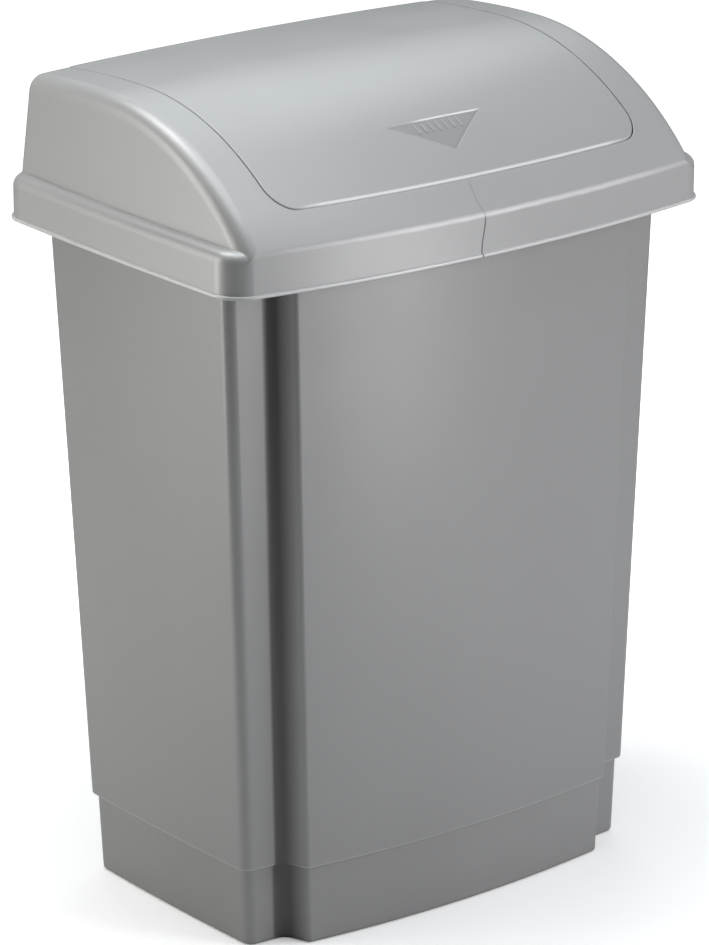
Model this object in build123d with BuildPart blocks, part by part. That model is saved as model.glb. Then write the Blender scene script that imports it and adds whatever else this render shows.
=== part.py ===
from build123d import *
from math import asin, atan2, cos, hypot, radians, sin, sqrt
import os

# Swing-lid kitchen bin: a tapered tub, a lift-off hood and a push flap.
# Millimetres, +Z up. The origin is the middle of the lid's plan at floor level,
# and the side that is pushed faces -Y.

# Tub: overall sizes at the floor and at the rim
body_height = 497.0
body_top_width = 377.6
body_bottom_width = 340.4
body_top_depth = 238.5
rear_taper = 21.3
front_taper = 6.3
body_wall = 2.2
floor_thickness = 2.5
floor_lift = 3.0
base_ring_width = 9.0
body_corner_radius = 8.0
body_side_radius = 2000.0

# Tub: proud front panel and the posts beside it
panel_top_width = 292.4
panel_bottom_width = 262.6
panel_top_depth = 23.3
panel_bottom_depth = 22.7
panel_side_flare = 7.5
panel_front_radius = 900.0
post_front_radius = 1800.0
panel_edge_radius = 3.5
groove_radius = 8.0

# Tub: step above the floor and rim round the mouth
step_height = 57.5
step_inset = 3.0
step_rounding = 0.8
base_rounding = 3.2
rim_thickness = 2.2
rim_lip_depth = 12.0
rim_clearance = 1.2
rim_rounding = 1.0

# Lid: plan, as overhangs beyond the top of the tub
overhang_side = 18.2
overhang_front = 15.1
overhang_rear = 26.4
lid_side_radius = 3600.0
lid_front_radius = 1100.0
lid_corner_radius = 22.0
lid_wall = 2.2

# Lid: skirt, bead and ledge, as heights from the top of the rim
skirt_drop = 23.0
ledge_rise = 8.0
ledge_rounding = 8.0
trim_overlap = 0.02
bead_proud = 1.6
bead_height = 2.4
bead_rounding = 0.8
shoulder_rounding = 6.0

# Lid: dome
ledge_width_side = 11.2
ledge_width_rear = 5.5
dome_side_radius = 2500.0
dome_draft = 0.077
arch_rounding = 12.0
rear_rounding = 8.0

# Roof line, from the front corner line over the crest to the rear
front_line_rise = 6.3
front_line_setback = 1.8
lip_rise = 26.8
lip_setback = 22.4
lip_bow_share = 0.9
crest_rise = 83.9
crest_offset = 36.0
rear_roof_radius = 761.0
roof_camber = 2.4

# Flap
side_band = 39.3
flap_rear_setback = 8.0
flap_thickness = 2.5
flap_gap = 0.9
flap_front_corner = 19.0
flap_rear_corner = 5.0
flap_rim_depth = 12.0
flap_rim_setback = 12.0
flap_edge_rounding = 0.6
seat_gap = 0.4

# Push mark sunk in the flap
mark_width = 82.0
mark_length = 26.0
mark_setback = 18.6
mark_depth = 0.8
grip_count = 7
grip_pitch = 6.0
grip_width = 1.8
grip_length = 8.0
grip_margin = 2.5

# Hinge
hinge_offset = 7.0
hinge_depth = 14.9
trunnion_radius = 4.0
trunnion_reach = 1.5
boss_radius = 7.0
running_clearance = 0.08
web_gap = 1.5
web_thickness = 2.5
web_radius = 18.0
open_angle = 75.0
stop_radius = 2.0
stop_gap = 0.4

# Ribs and opening rim inside the hood
seat_rib_thickness = 2.0
seat_rib_length = 9.0
seat_rib_pitch = 60.0
lid_seat_gap = 0.3
opening_rim_depth = 9.0

# Sizes that follow
body_half_top = body_top_width / 2
body_half_bottom = body_bottom_width / 2
lid_half = body_half_top + overhang_side
lid_depth = body_top_depth + overhang_front + overhang_rear
front_edge = -lid_depth / 2
rear_edge = lid_depth / 2
panel_top_y = front_edge + overhang_front
rear_top_y = rear_edge - overhang_rear
skirt_bottom = body_height - skirt_drop
ledge_z = body_height + ledge_rise
crest_z = body_height + crest_rise
lip_z = body_height + lip_rise
front_line_z = body_height + front_line_rise
lip_y = front_edge + lip_setback
front_line_y = front_edge + front_line_setback
dome_half = lid_half - ledge_width_side
dome_rear = rear_edge - ledge_width_rear
flap_half = dome_half - side_band
flap_rear = dome_rear - flap_rear_setback
hinge_y = -hinge_offset
hinge_z = crest_z - hinge_depth
above_all = crest_z + 40
below_lid = skirt_bottom - 10
skirt_inside = bead_proud + lid_wall
rim_inset = skirt_inside + rim_clearance

os.makedirs("parts", exist_ok=True)


def arc_drop(radius, x):
    """How far an arc has fallen back from its crown at a distance x."""
    return radius - sqrt(radius**2 - x**2)


def at(vertices, x, y, reach=1.0):
    """The vertices at (x, y) and at (-x, y)."""
    return [v for v in vertices if hypot(abs(v.X) - x, v.Y - y) < reach]


def tub_outline(height, inset=0.0, wall=0.0):
    """Tub's outline at a height as a face, stepped in by inset, then by a wall's thickness."""
    share = height / body_height
    within = inset + wall
    half = body_half_bottom + (body_half_top - body_half_bottom) * share - within
    rear = rear_top_y - rear_taper * (1 - share) - within
    panel_y = panel_top_y + front_taper * (1 - share) + within
    depth = panel_bottom_depth + (panel_top_depth - panel_bottom_depth) * share
    post_y = panel_y + depth
    slant = atan2(panel_side_flare, depth)
    panel_half = (panel_bottom_width + (panel_top_width - panel_bottom_width) * share) / 2
    panel_half -= within * (1 - sin(slant)) / cos(slant)
    foot = panel_half + panel_side_flare
    panel_radius = panel_front_radius - wall
    post_radius = post_front_radius - wall
    side_radius = body_side_radius - wall

    edge_y = panel_y + arc_drop(panel_radius, panel_half)
    foot_y = post_y + arc_drop(post_radius, foot)
    corner_x = half
    for _ in range(6):
        corner_y = post_y + arc_drop(post_radius, corner_x)
        corner_x = half - arc_drop(side_radius, corner_y)
    middle = (foot + corner_x) / 2
    middle_y = post_y + arc_drop(post_radius, middle)
    rear_x = half - arc_drop(side_radius, rear)

    with BuildSketch(Plane.XY.offset(height)) as outline:
        with BuildLine():
            ThreePointArc((-panel_half, edge_y), (0, panel_y), (panel_half, edge_y))
            for side in (1, -1):
                Line((side * panel_half, edge_y), (side * foot, foot_y))
                ThreePointArc((side * foot, foot_y), (side * middle, middle_y), (side * corner_x, corner_y))
                ThreePointArc((side * corner_x, corner_y), (side * half, 0), (side * rear_x, rear))
            Line((rear_x, rear), (-rear_x, rear))
        make_face()
        fillet(at(outline.vertices(), panel_half, edge_y), panel_edge_radius - wall)
        fillet(at(outline.vertices(), foot, foot_y), groove_radius + wall)
        fillet(at(outline.vertices(), corner_x, corner_y), body_corner_radius - wall)
        fillet(at(outline.vertices(), rear_x, rear), body_corner_radius - wall)
    return outline.sketch


def tub_block(bottom, top, inset=0.0, wall=0.0):
    """Tapered block with the tub's outline."""
    with BuildPart() as block:
        loft(sections=[tub_outline(z, inset, wall).face() for z in (bottom, top)], ruled=True)
    return block.part


def lid_outline(height, inset=0.0):
    """Plan of the lid as a face, drawn in by inset from its widest line, the bead."""
    half = lid_half - inset
    rear = rear_edge - inset
    front_radius = lid_front_radius - inset
    side_radius = lid_side_radius - inset
    corner_x = half
    for _ in range(6):
        corner_y = front_edge + inset + arc_drop(front_radius, corner_x)
        corner_x = half - arc_drop(side_radius, corner_y)
    rear_x = half - arc_drop(side_radius, rear)

    with BuildSketch(Plane.XY.offset(height)) as outline:
        with BuildLine():
            ThreePointArc((-corner_x, corner_y), (0, front_edge + inset), (corner_x, corner_y))
            for side in (1, -1):
                ThreePointArc((side * corner_x, corner_y), (side * half, 0), (side * rear_x, rear))
            Line((rear_x, rear), (-rear_x, rear))
        make_face()
        fillet(outline.vertices(), lid_corner_radius - inset)
    return outline.sketch


def lid_block(inset, bottom, top):
    """Upright block with the lid's plan."""
    with BuildPart() as block:
        add(lid_outline(bottom, inset))
        extrude(amount=top - bottom)
    return block.part


def main_arc(x):
    """Crest height, radius and front end of the roof's main arc in the plane at x."""
    top = crest_z - roof_camber * (x / flap_half) ** 2
    edge_y = lip_y + lip_bow_share * arc_drop(lid_front_radius, x)
    span = crest_offset - edge_y
    return top, (span**2 + (top - lip_z) ** 2) / (2 * (top - lip_z)), edge_y


def under_roof(x, y, inset):
    """Height of the main arc, drawn in by inset, at (x, y)."""
    top, radius, _ = main_arc(x)
    return top - radius + sqrt((radius - inset) ** 2 - (crest_offset - y) ** 2)


def roof_section(x, inset):
    """Roof line in the plane at x, closed far below, drawn in by inset."""
    top, main_radius, edge_y = main_arc(x)
    line_y = front_line_y + arc_drop(lid_front_radius, x)
    lip_angle = asin((crest_offset - edge_y) / main_radius)

    # The fascia arc leaves the main arc at the lip and ends on the front corner line
    chord = hypot(edge_y - line_y, lip_z - front_line_z)
    turn = 2 * (atan2(lip_z - front_line_z, edge_y - line_y) - lip_angle)
    fascia_radius = chord / (2 * sin(turn / 2))
    fascia_y = crest_offset - (main_radius - fascia_radius) * sin(lip_angle)
    fascia_z = top - main_radius + (main_radius - fascia_radius) * cos(lip_angle)

    def main(angle):
        radius = main_radius - inset
        return crest_offset - radius * sin(angle), top - main_radius + radius * cos(angle)

    def fascia(angle):
        radius = fascia_radius - inset
        return fascia_y - radius * sin(angle), fascia_z + radius * cos(angle)

    def rear(angle):
        radius = rear_roof_radius - inset
        return crest_offset + radius * sin(angle), top - rear_roof_radius + radius * cos(angle)

    # Past both ends the line runs on, clear of the lid
    end = lip_angle + turn
    run_on = 2 * (front_line_z - below_lid)
    toe = (fascia(end)[0] - run_on * cos(end), fascia(end)[1] - run_on * sin(end))
    rear_y = rear_edge + overhang_rear
    rear_end = asin((rear_y - crest_offset) / (rear_roof_radius - inset))
    base_z = min(toe[1], below_lid) - 10

    with BuildSketch(Plane.YZ.offset(x)) as section:
        with BuildLine():
            Line(toe, fascia(end))
            ThreePointArc(fascia(end), fascia(lip_angle + turn / 2), fascia(lip_angle))
            ThreePointArc(main(lip_angle), main(lip_angle / 2), main(0))
            ThreePointArc(rear(0), rear(rear_end / 2), rear(rear_end))
            Polyline(rear(rear_end), (rear_y, base_z), (toe[0], base_z), toe)
        make_face()
    return section.sketch


def roof(inset=0.0):
    """Everything under the roof surface, wider than the lid."""
    half_span = lid_half + 8
    sections = [roof_section(half_span * share, inset).face() for share in (-1, -0.5, 0, 0.5, 1)]
    with BuildPart() as under:
        loft(sections=sections)
    return under.part


def dome_walls(inset):
    """Leaning side and rear walls of the dome, open-ended at the front."""
    front = 2 * front_edge
    levels = []
    for z in (below_lid - 10, above_all):
        half = dome_half - inset - dome_draft * (z - ledge_z)
        rear = dome_rear - inset - dome_draft * (z - ledge_z)
        with BuildSketch(Plane.XY.offset(z)) as level:
            with BuildLine():
                for side in (1, -1):
                    ThreePointArc(
                        (side * (half - arc_drop(dome_side_radius, front)), front),
                        (side * half, 0),
                        (side * (half - arc_drop(dome_side_radius, rear)), rear),
                    )
                for y in (front, rear):
                    x = half - arc_drop(dome_side_radius, y)
                    Line((x, y), (-x, y))
            make_face()
        levels.append(level.sketch.face())
    with BuildPart() as walls:
        loft(sections=levels, ruled=True)
    return walls.part


def dome(inset):
    """Dome with its arched side edges and its rear edges rounded."""
    outside = dome_half - inset - dome_draft * (crest_z - ledge_z) - 8
    with BuildPart() as body:
        add(roof(inset))
        add(dome_walls(inset), mode=Mode.INTERSECT)
        arch = []
        for edge in body.edges():
            box = edge.bounding_box()
            lengthwise = 3 < box.size.Y and box.size.Z < 2 * box.size.Y and box.size.X < 12
            if abs(box.center().X) > outside and lengthwise and box.min.Z > below_lid:
                arch.append(edge)
        fillet(arch, arch_rounding - inset)
        back = body.edges().filter_by(lambda e: e.bounding_box().size.X > dome_half)
        fillet(back.filter_by(lambda e: e.center().Z > lip_z).sort_by(Axis.Y)[-1], rear_rounding - inset)
    return body.part


def skirt_under_roof(inset):
    """Skirt walls run up to the roof surface, with the shoulder rounded."""
    with BuildPart() as body:
        add(lid_block(bead_proud + inset, below_lid if inset else skirt_bottom, above_all))
        add(roof(inset), mode=Mode.INTERSECT)
        shoulder = []
        for edge in body.edges():
            box = edge.bounding_box()
            across = box.min.Y > front_edge * 0.95 and box.max.Y < rear_edge * 0.95
            seam = abs(edge.center().X) < 20 and across
            if box.min.Z > ledge_z - 20 and not seam:
                shoulder.append(edge)
        fillet(shoulder, shoulder_rounding - inset)
    return body.part


def ledge_block(inset, bottom):
    """Skirt up to the ledge with a rounded edge, a hair larger so that it crosses what it trims."""
    with BuildPart() as block:
        add(lid_block(bead_proud + inset - trim_overlap, bottom, ledge_z - inset + trim_overlap))
        fillet(block.faces().sort_by(Axis.Z)[-1].edges(), ledge_rounding - inset)
    return block.part


def hood_form(inset=0.0):
    """The hood as a solid right through, drawn in by inset."""
    raised = dome(inset)
    ledge = ledge_z - inset
    cut_depth = ledge_rounding + 2
    with BuildPart() as ledge_edge:
        with BuildSketch(Plane.XY.offset(ledge - cut_depth)):
            Rectangle(3 * lid_half, 3 * lid_depth)
        extrude(amount=cut_depth)
        add(ledge_block(inset, below_lid), mode=Mode.SUBTRACT)
        add(raised, mode=Mode.SUBTRACT)
    with BuildPart() as body:
        add(raised)
        with BuildSketch(Plane.XY.offset(below_lid - 10)):
            Rectangle(4 * lid_half, 4 * lid_depth)
        extrude(amount=ledge - below_lid + 10)
        add(skirt_under_roof(inset), mode=Mode.INTERSECT)
        add(ledge_edge.part, mode=Mode.SUBTRACT)
    return body.part


def flap_plan(height, grow=0.0):
    """Plan of the flap as a face, grown outwards by grow."""
    half = flap_half + grow
    front = lip_y - grow
    corner_y = front + arc_drop(lid_front_radius / lip_bow_share, half)
    with BuildSketch(Plane.XY.offset(height)) as plan:
        with BuildLine():
            ThreePointArc((-half, corner_y), (0, front), (half, corner_y))
            rear = flap_rear + grow
            Polyline((half, corner_y), (half, rear), (-half, rear), (-half, corner_y))
        make_face()
        fillet(plan.vertices().group_by(Axis.Y)[0], flap_front_corner + grow)
        fillet(plan.vertices().group_by(Axis.Y)[-1], flap_rear_corner + grow)
    return plan.sketch


def flap_block(grow, bottom):
    """Upright block with the flap's plan."""
    with BuildPart() as block:
        add(flap_plan(bottom, grow))
        extrude(amount=above_all - bottom)
    return block.part


def hinge_discs(radius, near, far):
    """Discs on the hinge axis at both sides, from near to far beyond the flap's sides."""
    with BuildPart() as discs:
        for side in (1, -1):
            with BuildSketch(Plane.YZ.offset(side * (flap_half + near))):
                with Locations((hinge_y, hinge_z)):
                    Circle(radius)
            extrude(amount=side * (far - near))
    return discs.part


# Tub: rim round the mouth, turned down at its outer edge
lip_bottom = body_height - rim_lip_depth
with BuildPart() as rim:
    add(lid_block(rim_inset, lip_bottom, body_height))
    fillet(rim.faces().sort_by(Axis.Z)[-1].edges(), rim_rounding)
    add(lid_block(rim_inset + rim_thickness, lip_bottom, body_height - rim_thickness), mode=Mode.SUBTRACT)

# Tub: walls and floor
with BuildPart() as bin_body:
    add(tub_block(step_height, body_height))
    fillet(bin_body.faces().sort_by(Axis.Z)[0].edges(), step_rounding)
    add(tub_block(0, step_height, step_inset))
    fillet(bin_body.faces().sort_by(Axis.Z)[0].edges(), base_rounding)
    add(rim.part)
    add(tub_block(step_height + body_wall, body_height + 5, wall=body_wall), mode=Mode.SUBTRACT)
    floor_top = floor_lift + floor_thickness
    add(tub_block(floor_top, step_height + body_wall, step_inset, body_wall), mode=Mode.SUBTRACT)
    add(tub_block(-5, floor_lift, step_inset + base_ring_width), mode=Mode.SUBTRACT)
bin_body.part.label = "bin_body"
export_step(bin_body.part, "parts/bin_body.step")

# Hood: what stands out from its inner face, trimmed by that face below
bars_long = int(lid_half / seat_rib_pitch)
bars_deep = int(rear_edge / seat_rib_pitch)
with BuildPart() as seat_ribs:
    with BuildSketch(Plane.XY.offset(body_height + lid_seat_gap)):
        with GridLocations(seat_rib_pitch, 0, 2 * bars_long + 1, 1):
            Rectangle(seat_rib_thickness, 2 * lid_depth)
        with GridLocations(0, seat_rib_pitch, 1, 2 * bars_deep + 1):
            Rectangle(4 * lid_half, seat_rib_thickness)
    extrude(amount=lip_rise)
    add(lid_block(skirt_inside - 1, body_height, crest_z), mode=Mode.INTERSECT)
    add(lid_block(skirt_inside + seat_rib_length, body_height, crest_z), mode=Mode.SUBTRACT)

web_near = web_gap
web_far = web_gap + web_thickness
with BuildPart() as opening_rim:
    add(flap_block(web_far, body_height))
    add(flap_block(web_near, body_height), mode=Mode.SUBTRACT)
    add(roof(lid_wall + opening_rim_depth), mode=Mode.SUBTRACT)
    with BuildSketch(Plane.XY.offset(body_height)):
        with Locations((0, flap_rear)):
            Rectangle(3 * lid_half, 2 * flap_rim_setback)
    extrude(amount=above_all - body_height, mode=Mode.SUBTRACT)

with BuildPart() as webs:
    for side in (1, -1):
        with BuildSketch(Plane.YZ.offset(side * (flap_half + web_near))):
            with Locations((hinge_y, hinge_z)):
                Circle(web_radius)
            with Locations((hinge_y, hinge_z + web_radius / 2)):
                Rectangle(2 * web_radius, web_radius)
        extrude(amount=side * web_thickness)

# Hood: stop pegs, where the lower edge of the flap's rim arrives when the flap is fully open
stop_reach = web_radius - stop_radius - 1
rim_slope = asin((crest_offset - hinge_y + stop_reach) / (main_arc(flap_half)[1] - flap_rim_depth))
edge_drop = hinge_z - under_roof(flap_half, hinge_y - stop_reach, flap_rim_depth)
peg_drop = edge_drop + (stop_radius + stop_gap) / cos(rim_slope)
swing = radians(open_angle)
peg_y = hinge_y - stop_reach * cos(swing) + peg_drop * sin(swing)
peg_z = hinge_z - stop_reach * sin(swing) - peg_drop * cos(swing)
with BuildPart() as stop_pegs:
    for side in (1, -1):
        with BuildSketch(Plane.YZ.offset(side * (flap_half - flap_thickness))):
            with Locations((peg_y, peg_z)):
                Circle(stop_radius)
        extrude(amount=side * (flap_thickness + web_near + web_thickness / 2))

# Hood: bead round the foot of the skirt and opening for the flap
with BuildPart() as bead:
    add(lid_block(0, skirt_bottom, skirt_bottom + bead_height))
    fillet(bead.faces().filter_by(Axis.Z).edges(), bead_rounding)
    add(lid_block(bead_proud + lid_wall / 2, skirt_bottom, ledge_z), mode=Mode.SUBTRACT)

with BuildPart() as opening:
    add(flap_block(flap_gap, body_height))
    add(roof(flap_thickness + seat_gap), mode=Mode.SUBTRACT)

with BuildPart() as cavity:
    add(hood_form(lid_wall))
    add(seat_ribs.part, mode=Mode.SUBTRACT)
    add(opening_rim.part, mode=Mode.SUBTRACT)
    add(webs.part, mode=Mode.SUBTRACT)
    add(hinge_discs(trunnion_radius + running_clearance, web_near - 1, web_far + 1))

with BuildPart() as lid_hood:
    add(hood_form())
    add(cavity.part, mode=Mode.SUBTRACT)
    add(bead.part)
    add(opening.part, mode=Mode.SUBTRACT)
    add(stop_pegs.part)
lid_hood.part.label = "lid_hood"
export_step(lid_hood.part, "parts/lid_hood.step")

# Flap: push mark with grip ribs standing in it
mark_front = lip_y + mark_setback
with BuildPart() as mark:
    with BuildSketch(Plane.XY.offset(lip_z)):
        with BuildLine():
            corner_y = mark_front + mark_length
            Polyline((-mark_width / 2, corner_y), (mark_width / 2, corner_y), (0, mark_front), close=True)
        make_face()
        with Locations((0, corner_y - grip_margin - grip_length / 2)):
            with GridLocations(grip_pitch, 0, grip_count, 1):
                SlotCenterToCenter(grip_length - grip_width, grip_width, rotation=90, mode=Mode.SUBTRACT)
    extrude(amount=above_all - lip_z)
    add(roof(mark_depth), mode=Mode.SUBTRACT)

# Flap: skin, stiffening rim at the sides and front, bosses and trunnions
with BuildPart() as under_skin:
    add(flap_block(-flap_thickness, skirt_bottom))
    with BuildSketch(Plane.XY.offset(skirt_bottom)):
        with Locations((0, flap_rear)):
            Rectangle(3 * lid_half, 2 * flap_rim_setback)
    extrude(amount=above_all - skirt_bottom)
    add(roof(flap_thickness), mode=Mode.INTERSECT)

with BuildPart() as bosses:
    add(hinge_discs(boss_radius, -flap_thickness, 0))
    add(roof(flap_edge_rounding), mode=Mode.INTERSECT)

with BuildPart() as swing_flap:
    add(flap_block(0, skirt_bottom))
    add(roof(), mode=Mode.INTERSECT)
    top_edges = []
    for edge in swing_flap.edges():
        box = edge.bounding_box()
        seam = box.size.X > flap_half and abs(edge.center().Y - crest_offset) < 1
        if box.min.Z > lip_z - 5 and not seam:
            top_edges.append(edge)
    fillet(top_edges, flap_edge_rounding)
    add(roof(flap_rim_depth), mode=Mode.SUBTRACT)
    add(under_skin.part, mode=Mode.SUBTRACT)
    add(mark.part, mode=Mode.SUBTRACT)
    add(bosses.part)
    add(hinge_discs(trunnion_radius, -flap_thickness / 2, web_far + trunnion_reach))
swing_flap.part.label = "swing_flap"
export_step(swing_flap.part, "parts/swing_flap.step")
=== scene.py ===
from math import cos, radians, sin

import bpy
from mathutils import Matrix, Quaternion, Vector


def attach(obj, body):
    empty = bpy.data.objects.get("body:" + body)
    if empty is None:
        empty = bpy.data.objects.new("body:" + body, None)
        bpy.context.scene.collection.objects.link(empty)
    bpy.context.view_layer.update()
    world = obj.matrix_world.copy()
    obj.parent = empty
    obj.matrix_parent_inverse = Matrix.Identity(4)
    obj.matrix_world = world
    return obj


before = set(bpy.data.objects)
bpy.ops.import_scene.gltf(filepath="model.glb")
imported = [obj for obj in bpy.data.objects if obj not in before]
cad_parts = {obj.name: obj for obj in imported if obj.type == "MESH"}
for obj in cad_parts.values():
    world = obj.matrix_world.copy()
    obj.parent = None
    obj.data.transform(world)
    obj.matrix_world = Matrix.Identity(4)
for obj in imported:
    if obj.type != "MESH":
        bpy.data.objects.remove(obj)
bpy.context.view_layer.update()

# Camera that fits the photograph: angles in degrees, lengths in metres
image_height = 945
camera_azimuth = -38.427
camera_elevation = 18.927
camera_roll = 0.162
camera_distance = 3.42527
camera_target = Vector((-0.00491, 0.00256, 0.28452))
focal_pixels = 4928.26
sensor_size = 36.0  # millimetres


def direction(azimuth, elevation):
    """Unit vector from the object towards the viewer. Azimuth 0 faces the push side."""
    turn = radians(azimuth)
    rise = radians(elevation)
    return Vector((sin(turn) * cos(rise), -cos(turn) * cos(rise), sin(rise)))


def make_camera():
    """Camera at the photograph's viewing angle."""
    camera = bpy.data.cameras.new("camera")
    camera.sensor_width = sensor_size
    camera.lens = focal_pixels * sensor_size / image_height
    holder = bpy.data.objects.new("camera", camera)
    back = direction(camera_azimuth, camera_elevation)
    holder.location = camera_target + back * camera_distance
    holder.rotation_mode = "QUATERNION"
    roll = Quaternion((0, 0, 1), radians(camera_roll))
    holder.rotation_quaternion = back.to_track_quat("Z", "Y") @ roll
    bpy.context.scene.collection.objects.link(holder)
    bpy.context.scene.camera = holder


make_camera()


# Lamps: place, height aimed at, size across, size up, watts, colour. Lengths in metres
lamps = {
    "overhead": (Vector((0, -0.08, 2.59)), 0.29, 1.8, 1.8, 32.5, (0.95, 1.01, 1.04)),
    "rear_right": (Vector((0.989, 1.179, 1.999)), 0.29, 1.2, 1.2, 4.0, (0.93, 1.02, 1.05)),
    "rear_right_high": (Vector((0.418, 0.724, 1.286)), 0.29, 0.9, 0.9, 1.3, (0.95, 1.01, 1.04)),
    "rear_left_high": (Vector((-0.3, 0.4, 1.4)), 0.45, 0.45, 0.45, 3.8, (1.01, 0.99, 1.0)),
    "front_right_high": (Vector((0.3, -0.6, 1.3)), 0.45, 0.45, 0.45, 0.75, (0.93, 0.99, 1.08)),
    "left_high": (Vector((-0.601, 0.106, 1.438)), 0.29, 0.7, 0.7, 1.75, (1.02, 1.01, 0.97)),
    "right_softbox": (Vector((1.406, -1.676, 1.001)), 0.29, 1.2, 1.2, 19, (1.0, 0.99, 1.01)),
    "front_strip": (Vector((0.342, -0.94, 0.5)), 0.5, 0.27, 0.9, 3.1, (1.0, 0.995, 1.005)),
    "left_strip_front": (Vector((-0.985, 0.174, 0.5)), 0.5, 0.27, 0.9, 0.95, (1.01, 1.02, 0.96)),
    "left_strip_middle": (Vector((-0.906, 0.423, 0.5)), 0.5, 0.27, 0.9, 3.5, (1.01, 1.02, 0.96)),
    "left_strip_rear": (Vector((-0.766, 0.643, 0.5)), 0.5, 0.27, 0.9, 0.75, (1.01, 1.02, 0.96)),
}
world_strength = 0.0
white = (1, 1, 1, 1)


def make_lamps():
    """Soft lamps round the object, each aimed at a height on its middle line."""
    for name, (place, height, across, up, watts, colour) in lamps.items():
        lamp = bpy.data.lights.new(name, "AREA")
        lamp.shape = "RECTANGLE"
        lamp.size = across
        lamp.size_y = up
        lamp.energy = watts
        lamp.color = colour
        holder = bpy.data.objects.new(name, lamp)
        holder.location = place
        holder.rotation_mode = "QUATERNION"
        holder.rotation_quaternion = (place - Vector((0, 0, height))).to_track_quat("Z", "Y")
        bpy.context.scene.collection.objects.link(holder)


def make_world():
    """White where the camera sees it, and no light from it on anything else."""
    world = bpy.data.worlds.new("world")
    bpy.context.scene.world = world
    world.use_nodes = True
    nodes = world.node_tree.nodes
    links = world.node_tree.links
    nodes.clear()
    output = nodes.new("ShaderNodeOutputWorld")
    path = nodes.new("ShaderNodeLightPath")
    mix = nodes.new("ShaderNodeMixShader")
    fill = nodes.new("ShaderNodeBackground")
    seen = nodes.new("ShaderNodeBackground")
    fill.inputs["Color"].default_value = white
    fill.inputs["Strength"].default_value = world_strength
    seen.inputs["Color"].default_value = white
    seen.inputs["Strength"].default_value = 1.0
    links.new(path.outputs["Is Camera Ray"], mix.inputs["Fac"])
    links.new(fill.outputs["Background"], mix.inputs[1])
    links.new(seen.outputs["Background"], mix.inputs[2])
    links.new(mix.outputs["Shader"], output.inputs["Surface"])


# Floor: colour that lights the object, colour that the camera sees, and the glow that
# whitens it further out, as (distance from the middle in metres, strength)
floor_half = 6.0
floor_bounce = (0.6, 0.6, 0.6, 1)
floor_paint = (0.85, 0.85, 0.85, 1)
floor_glow_near = (0.2, 0.3)
floor_glow_far = (0.7, 1.0)


def make_floor():
    """Pale floor that holds the object's shadow and turns plain white further out."""
    mesh = bpy.data.meshes.new("floor")
    corners = [(x * floor_half, y * floor_half, 0) for x, y in ((-1, -1), (1, -1), (1, 1), (-1, 1))]
    mesh.from_pydata(corners, [], [(0, 1, 2, 3)])
    floor = bpy.data.objects.new("floor", mesh)
    bpy.context.scene.collection.objects.link(floor)
    material = bpy.data.materials.new("pale_floor")
    material.use_nodes = True
    nodes = material.node_tree.nodes
    links = material.node_tree.links
    nodes.clear()
    output = nodes.new("ShaderNodeOutputMaterial")
    bounce = nodes.new("ShaderNodeBsdfDiffuse")
    bounce.inputs["Color"].default_value = floor_bounce
    paint = nodes.new("ShaderNodeBsdfDiffuse")
    paint.inputs["Color"].default_value = floor_paint
    glow = nodes.new("ShaderNodeEmission")
    place = nodes.new("ShaderNodeTexCoord")
    reach = nodes.new("ShaderNodeVectorMath")
    reach.operation = "LENGTH"
    fade = nodes.new("ShaderNodeMapRange")
    fade.interpolation_type = "SMOOTHSTEP"
    fade.inputs["From Min"].default_value, fade.inputs["To Min"].default_value = floor_glow_near
    fade.inputs["From Max"].default_value, fade.inputs["To Max"].default_value = floor_glow_far
    links.new(place.outputs["Object"], reach.inputs[0])
    links.new(reach.outputs["Value"], fade.inputs["Value"])
    links.new(fade.outputs["Result"], glow.inputs["Strength"])
    add = nodes.new("ShaderNodeAddShader")
    links.new(paint.outputs["BSDF"], add.inputs[0])
    links.new(glow.outputs["Emission"], add.inputs[1])
    path = nodes.new("ShaderNodeLightPath")
    mix = nodes.new("ShaderNodeMixShader")
    links.new(path.outputs["Is Camera Ray"], mix.inputs["Fac"])
    links.new(bounce.outputs["BSDF"], mix.inputs[1])
    links.new(add.outputs["Shader"], mix.inputs[2])
    links.new(mix.outputs["Shader"], output.inputs["Surface"])
    mesh.materials.append(material)


make_lamps()
make_world()
make_floor()


def noise(nodes, links, place, scale, detail, stretch=(1, 1, 1)):
    """Noise over the object's own coordinates, drawn out along an axis where stretch is under 1."""
    fit = nodes.new("ShaderNodeMapping")
    fit.inputs["Scale"].default_value = stretch
    links.new(place.outputs["Object"], fit.inputs["Vector"])
    texture = nodes.new("ShaderNodeTexNoise")
    texture.inputs["Scale"].default_value = scale
    texture.inputs["Detail"].default_value = detail
    links.new(fit.outputs["Vector"], texture.inputs["Vector"])
    return texture.outputs["Fac"]


def span(nodes, links, value, from_min, from_max, to_min, to_max):
    """Maps one range of a value on another, held at its ends."""
    node = nodes.new("ShaderNodeMapRange")
    node.inputs["From Min"].default_value = from_min
    node.inputs["From Max"].default_value = from_max
    node.inputs["To Min"].default_value = to_min
    node.inputs["To Max"].default_value = to_max
    links.new(value, node.inputs["Value"])
    return node.outputs["Result"]


def maths(nodes, links, operation, first, second=None, number=None):
    """One sum on two values, or on a value and a number."""
    node = nodes.new("ShaderNodeMath")
    node.operation = operation
    links.new(first, node.inputs[0])
    if second is not None:
        links.new(second, node.inputs[1])
    if number is not None:
        node.inputs[1].default_value = number
    return node.outputs[0]


def axes(nodes, links, place):
    """The three object coordinates: across, depth and height."""
    parts = nodes.new("ShaderNodeSeparateXYZ")
    links.new(place.outputs["Object"], parts.inputs["Vector"])
    return (parts.outputs[axis] for axis in "XYZ")


def product(nodes, links, values):
    """Several masks multiplied together."""
    result = values[0]
    for value in values[1:]:
        result = maths(nodes, links, "MULTIPLY", result, value)
    return result


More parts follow.
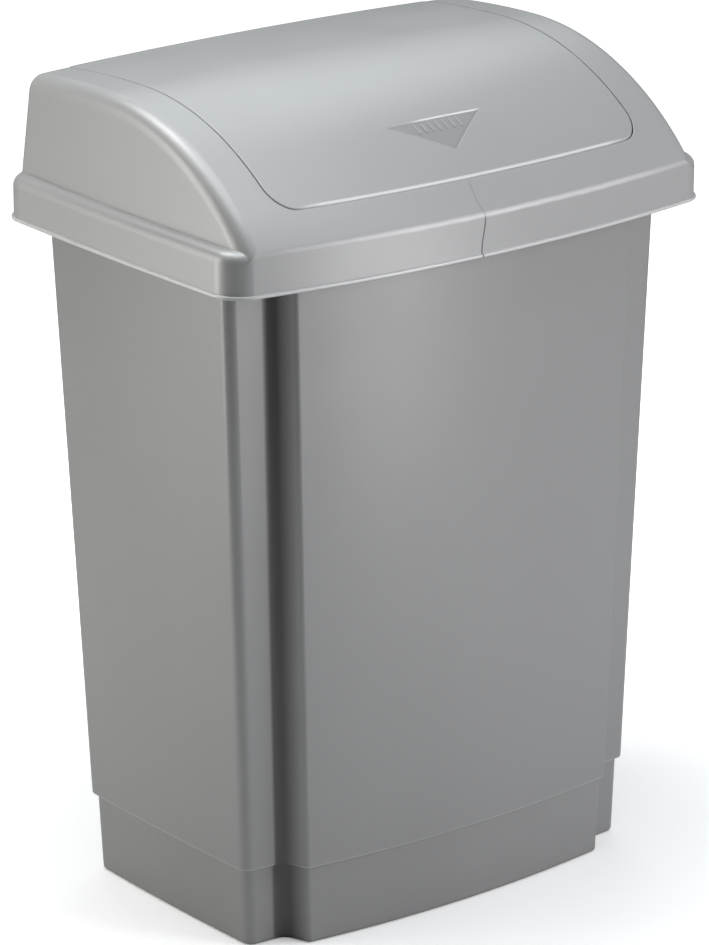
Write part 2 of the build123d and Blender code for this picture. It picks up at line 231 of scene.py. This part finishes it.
# Weld line down the middle of the hood's front: height and sideways place, in metres
weld_low = 0.474
weld_high = 0.524
weld_reach = 0.0125
weld_path = [(0.474, -0.0097), (0.484, -0.0094), (0.491, -0.0081), (0.501, -0.0070),
             (0.510, -0.0085), (0.518, -0.0075), (0.524, -0.0053)]
weld_core = 0.0002
weld_half_width = 0.0008
weld_skirt_top = 0.499
weld_shoulder = 0.504
weld_shoulder_strength = 0.28
weld_front = -0.121
weld_colour = (0.07, 0.07, 0.075)


def weld_mask(nodes, links, place):
    """1 along the weld line, strong on the skirt and faint on the shoulder above it."""
    across, depth, height = axes(nodes, links, place)
    level = span(nodes, links, height, weld_low, weld_high, 0, 1)
    curve = nodes.new("ShaderNodeFloatCurve")
    line = curve.mapping.curves[0]
    wanted = [((z - weld_low) / (weld_high - weld_low), 0.5 + x / (2 * weld_reach))
              for z, x in weld_path]
    line.points[0].location = wanted[0]
    line.points[1].location = wanted[-1]
    for spot in wanted[1:-1]:
        line.points.new(*spot)
    curve.mapping.update()
    links.new(level, curve.inputs["Value"])
    middle = span(nodes, links, curve.outputs["Value"], 0, 1, -weld_reach, weld_reach)
    away = maths(nodes, links, "ABSOLUTE", maths(nodes, links, "SUBTRACT", across, middle))
    inside = span(nodes, links, away, weld_core, weld_half_width, 1, 0)
    strength = span(nodes, links, height, weld_skirt_top, weld_shoulder, 1, weld_shoulder_strength)
    front = span(nodes, links, depth, weld_front + 0.002, weld_front, 0, 1)
    return product(nodes, links, [inside, strength, front])


# Faint pale flow marks on the skirt left of the weld line, in metres
flow_left = -0.135
flow_right = -0.012
flow_fade = 0.03
flow_low = 0.477
flow_high = 0.498
flow_front = -0.124
flow_strength = 0.55
flow_colour = (0.46, 0.46, 0.465)


def flow_marks(nodes, links, place):
    """Streaks along the skirt where the plastic ran, fading upwards and to both ends."""
    across, depth, height = axes(nodes, links, place)
    patches = noise(nodes, links, place, 60, 3, (0.25, 1, 2))
    return product(nodes, links, [
        span(nodes, links, patches, 0.5, 0.75, 0, flow_strength),
        span(nodes, links, depth, flow_front + 0.002, flow_front, 0, 1),
        span(nodes, links, height, flow_low, flow_high, 1, 0),
        span(nodes, links, across, flow_left, flow_left + flow_fade, 0, 1),
        span(nodes, links, across, flow_right - flow_fade, flow_right, 1, 0),
    ])


# Pale lines where the mouldings' edges catch the light, in metres
bead_low = 0.4738
bead_high = 0.4764
bead_colour = (0.58, 0.58, 0.58)
step_low = 0.0576
step_high = 0.0586
step_colour = (0.43, 0.43, 0.43)
flap_front = -0.1176
flap_bow_radius = 1.2222
flap_edge_width = 0.0011
flap_edge_half = 0.142
flap_edge_fade = 0.02
flap_edge_colour = (0.66, 0.66, 0.67)


def band(nodes, links, value, low, high, soft=0.0003):
    """1 between two values, fading to 0 over a short way at each."""
    rise = span(nodes, links, value, low - soft, low, 0, 1)
    fall = span(nodes, links, value, high, high + soft, 1, 0)
    return product(nodes, links, [rise, fall])


def level_band(nodes, links, place, low, high):
    """1 on a level band round the object."""
    _, _, height = axes(nodes, links, place)
    return band(nodes, links, height, low, high)


def flap_edge_mask(nodes, links, place):
    """1 along the flap's bowed front edge."""
    across, depth, _ = axes(nodes, links, place)
    square = product(nodes, links, [across, across])
    bow = maths(nodes, links, "MULTIPLY", square, number=0.5 / flap_bow_radius)
    behind = maths(nodes, links, "SUBTRACT", depth, bow)
    edge = band(nodes, links, behind, flap_front - 0.001, flap_front + flap_edge_width)
    away = maths(nodes, links, "ABSOLUTE", across)
    ends = span(nodes, links, away, flap_edge_half - flap_edge_fade, flap_edge_half, 1, 0)
    return product(nodes, links, [edge, ends])


# Painted shade in the grooves beside the tub's front panel: the foot of the panel's side wall
# and the panel's front at floor level, in metres, and how far both move for each metre up
groove_foot = 0.1388
groove_flare = 0.03
groove_front = -0.1186
groove_lean = 0.0127
# Colour of the painted shade in the grooves
groove_shade_colour = (0.125, 0.117, 0.121)


def groove_shade_mask(nodes, links, place):
    """1 where shade is painted deep in the grooves beside the front panel, fading up the panel's
    side walls.
    """
    across, depth, height = axes(nodes, links, place)
    flare = maths(nodes, links, "MULTIPLY", height, number=groove_flare)
    lean = maths(nodes, links, "MULTIPLY", height, number=groove_lean)
    away = maths(nodes, links, "ABSOLUTE", across)
    beside = maths(nodes, links, "SUBTRACT", away, flare)
    behind = maths(nodes, links, "ADD", depth, lean)
    return product(nodes, links, [
        span(nodes, links, behind, groove_front + 0.014, groove_front + 0.026, 0, 1),
        span(nodes, links, beside, groove_foot + 0.0075, groove_foot + 0.005, 0, 1),
        span(nodes, links, beside, groove_foot - 0.012, groove_foot - 0.01, 0, 1),
        span(nodes, links, behind, groove_front + 0.036, groove_front + 0.034, 0, 1),
    ])


# Push mark sunk in the flap: half width, its flat rear edge, its point and the ribs in it,
# in metres
mark_half = 0.041
mark_rear = -0.073
mark_point = -0.099
rib_pitch = 0.006
rib_half_width = 0.0008
rib_reach = 0.0205
rib_low = -0.0835
rib_high = -0.0755
lit_edge_start = -0.02
lit_edge_full = -0.008
sunk_colour = (0.33, 0.33, 0.335)
lit_edge_colour = (0.75, 0.75, 0.76)


def sunk_mask(nodes, links, place):
    """1 on the sunk floor of the push mark, beside its ribs."""
    across, depth, _ = axes(nodes, links, place)
    away = maths(nodes, links, "ABSOLUTE", across)
    slope = (mark_rear - mark_point) / mark_half
    side = maths(nodes, links, "MULTIPLY", away, number=slope)
    ahead = maths(nodes, links, "SUBTRACT", depth, side)
    beside = maths(nodes, links, "PINGPONG", across, number=rib_pitch / 2)
    on_rib = product(nodes, links, [
        span(nodes, links, beside, rib_half_width, rib_half_width + 0.0002, 1, 0),
        span(nodes, links, away, rib_reach, rib_reach - 0.0005, 0, 1),
        span(nodes, links, depth, rib_low, rib_low + 0.0003, 0, 1),
        span(nodes, links, depth, rib_high, rib_high - 0.0003, 0, 1),
    ])
    return product(nodes, links, [
        span(nodes, links, ahead, mark_point, mark_point + 0.0003, 0, 1),
        span(nodes, links, depth, mark_rear - 0.0004, mark_rear - 0.0002, 1, 0),
        span(nodes, links, on_rib, 0, 1, 1, 0),
    ])


def lit_edge_mask(nodes, links, place):
    """1 on the bright wall along the push mark's rear edge."""
    across, depth, _ = axes(nodes, links, place)
    return product(nodes, links, [
        span(nodes, links, depth, mark_rear - 0.0002, mark_rear - 0.0001, 0, 1),
        span(nodes, links, depth, mark_rear + 0.0002, mark_rear + 0.0004, 1, 0),
        span(nodes, links, across, lit_edge_start, lit_edge_full, 0, 1),
        span(nodes, links, across, mark_half, mark_half + 0.0005, 1, 0),
    ])


# Share of the look that comes from the silver pigment's flakes
metal_share = 0.2

# Faint changes over each piece: share of its colour, roughness, and height of the grain in metres
tone_drift = 0.02
gloss_drift = 0.02
grain_height = 0.00003
grain_strength = 0.25


def tone(nodes, links, paint, mask, colour):
    """Turns the paint to a colour where the mask is 1."""
    mix = nodes.new("ShaderNodeMix")
    mix.data_type = "RGBA"
    mix.inputs["B"].default_value = (*colour, 1)
    links.new(mask, mix.inputs["Factor"])
    links.new(paint, mix.inputs["A"])
    return mix.outputs["Result"]


def details(name, nodes, links, place):
    """Masks and colours that belong to one piece, in the order they are laid on."""
    if name == "tub_plastic":
        # Painted highlight along the step's edge and painted shade in the grooves
        return [(level_band(nodes, links, place, step_low, step_high), step_colour),
                (groove_shade_mask(nodes, links, place), groove_shade_colour)]
    if name == "hood_plastic":
        return [(level_band(nodes, links, place, bead_low, bead_high), bead_colour),
                (flow_marks(nodes, links, place), flow_colour),
                (weld_mask(nodes, links, place), weld_colour)]
    return [(sunk_mask(nodes, links, place), sunk_colour),
            (lit_edge_mask(nodes, links, place), lit_edge_colour),
            (flap_edge_mask(nodes, links, place), flap_edge_colour)]


def plastic(name, colour, roughness, edge_radius):
    """Satin moulded plastic: a faint drift of tone and gloss, fine grain and softened edges."""
    material = bpy.data.materials.new(name)
    material.use_nodes = True
    nodes = material.node_tree.nodes
    links = material.node_tree.links
    shader = nodes["Principled BSDF"]
    place = nodes.new("ShaderNodeTexCoord")

    ramp = nodes.new("ShaderNodeValToRGB")
    for element, position, share in zip(ramp.color_ramp.elements, (0.3, 0.7),
                                        (1 - tone_drift, 1 + tone_drift)):
        element.position = position
        element.color = (*(value * share for value in colour), 1)
    links.new(noise(nodes, links, place, 7, 3, (1, 1, 0.5)), ramp.inputs["Fac"])
    paint = ramp.outputs["Color"]
    for mask, detail_colour in details(name, nodes, links, place):
        paint = tone(nodes, links, paint, mask, detail_colour)
    links.new(paint, shader.inputs["Base Color"])

    patches = noise(nodes, links, place, 22, 4)
    gloss = span(nodes, links, patches, 0.3, 0.7, roughness - gloss_drift, roughness + gloss_drift)
    links.new(gloss, shader.inputs["Roughness"])
    shader.inputs["Metallic"].default_value = metal_share

    edges = nodes.new("ShaderNodeBevel")
    edges.samples = 6
    edges.inputs["Radius"].default_value = edge_radius
    grain = nodes.new("ShaderNodeBump")
    grain.inputs["Strength"].default_value = grain_strength
    grain.inputs["Distance"].default_value = grain_height
    links.new(noise(nodes, links, place, 1400, 2), grain.inputs["Height"])
    links.new(edges.outputs["Normal"], grain.inputs["Normal"])
    links.new(grain.outputs["Normal"], shader.inputs["Normal"])
    return material


def dress(node, material):
    """Puts a material on every slot of a node of the frame."""
    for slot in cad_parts[node].material_slots:
        slot.link = "OBJECT"
        slot.material = material


# Greys and roughness of the plastic, and how far its edges are softened in metres
tub_grey = (0.32, 0.32, 0.32)
lid_grey = (0.40, 0.40, 0.40)
satin = 0.36
hood_look = plastic("hood_plastic", lid_grey, satin, edge_radius=0.001)
dress("bin_body", plastic("tub_plastic", tub_grey, satin, edge_radius=0.0007))
dress("lid_hood", hood_look)
dress("swing_flap", plastic("flap_plastic", lid_grey, satin, edge_radius=0.0012))

# Rounded outer edge of the hood's side ledges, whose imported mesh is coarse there, in metres
ledge_radius = 0.008
ledge_centre_half = 0.19742
ledge_centre_z = 0.49702
ledge_sweep_radius = 3.59042
ledge_front = -0.1026
ledge_rear = 0.1186
ledge_skin_height = 0.00004
ledge_stations = 112
ledge_steps = 14
ledge_skirt_lap = 0.0006
ledge_top_lap = 0.0004


def ledge_skin(name, side):
    """Thin smooth skin over the rounded edge, tangent to the skirt below and the ledge inside."""
    radius = ledge_radius + ledge_skin_height
    turns = [radians(90 * step / ledge_steps) for step in range(ledge_steps + 1)]
    section = [(radius, -ledge_skirt_lap)]
    section += [(radius * cos(turn), radius * sin(turn)) for turn in turns]
    section += [(-ledge_top_lap, radius)]
    points = []
    for station in range(ledge_stations):
        y = ledge_front + (ledge_rear - ledge_front) * station / (ledge_stations - 1)
        drop = ledge_sweep_radius - (ledge_sweep_radius ** 2 - y ** 2) ** 0.5
        half = ledge_centre_half - drop
        for out, up in section:
            lean = out * y / ledge_sweep_radius
            points.append((side * (half + out), y + lean, ledge_centre_z + up))
    width = len(section)
    faces = []
    for station in range(ledge_stations - 1):
        for step in range(width - 1):
            first = station * width + step
            face = (first, first + width, first + width + 1, first + 1)
            faces.append(face if side < 0 else face[::-1])
    mesh = bpy.data.meshes.new(name)
    mesh.from_pydata(points, [], faces)
    mesh.shade_smooth()
    mesh.materials.append(hood_look)
    skin = bpy.data.objects.new(name, mesh)
    bpy.context.scene.collection.objects.link(skin)
    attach(skin, "hood")


ledge_skin("left_ledge_edge", -1)
ledge_skin("right_ledge_edge", 1)

bpy.context.scene.view_settings.view_transform = "Standard"
